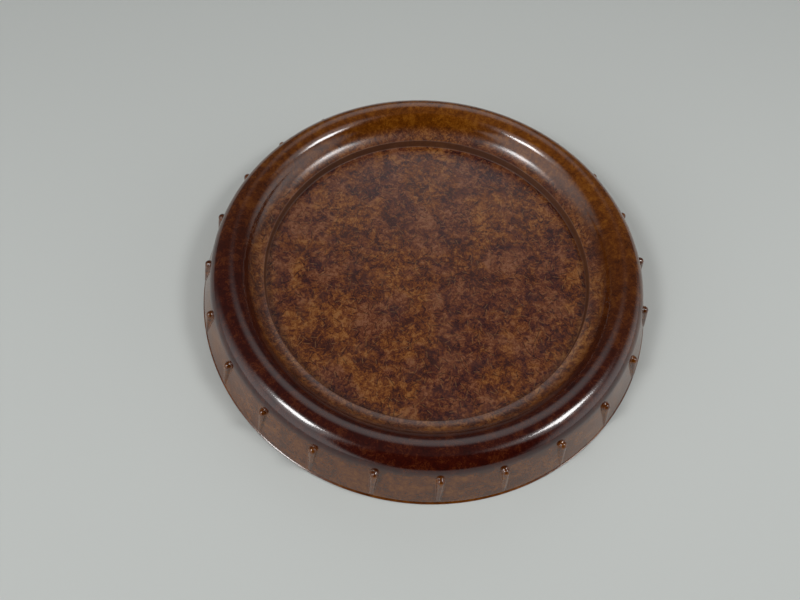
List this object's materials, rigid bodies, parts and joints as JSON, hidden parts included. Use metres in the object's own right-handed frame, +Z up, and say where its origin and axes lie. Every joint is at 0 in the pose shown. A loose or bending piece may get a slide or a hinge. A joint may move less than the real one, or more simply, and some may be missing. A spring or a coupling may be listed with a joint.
{
  "type": "brush dish",
  "caption": "Low round moulded dish with a rolled rim, a sunk flat floor for a pot or brushes, a flared skirt with moulded studs, and a baize-covered base board.",
  "frame": {"origin": "centre of the baize disc's underside, the plane the dish stands on", "axes": "+Z up through the middle of the dish; one stud lies on each of +X, -X, +Y and -Y"},
  "size_m": [0.15, 0.15, 0.0185],
  "materials": {
    "phenolic": "mottled brown phenolic resin, polished on the rim and skirt, worn satin on the floor",
    "board": "pressed brown fibreboard, matte",
    "baize": "dark green woven baize, brushed nap"
  },
  "bodies": {
    "root": {"dish_moulding": "phenolic", "base_board": "board", "baize_disc": "baize"}
  },
  "joints": []
}
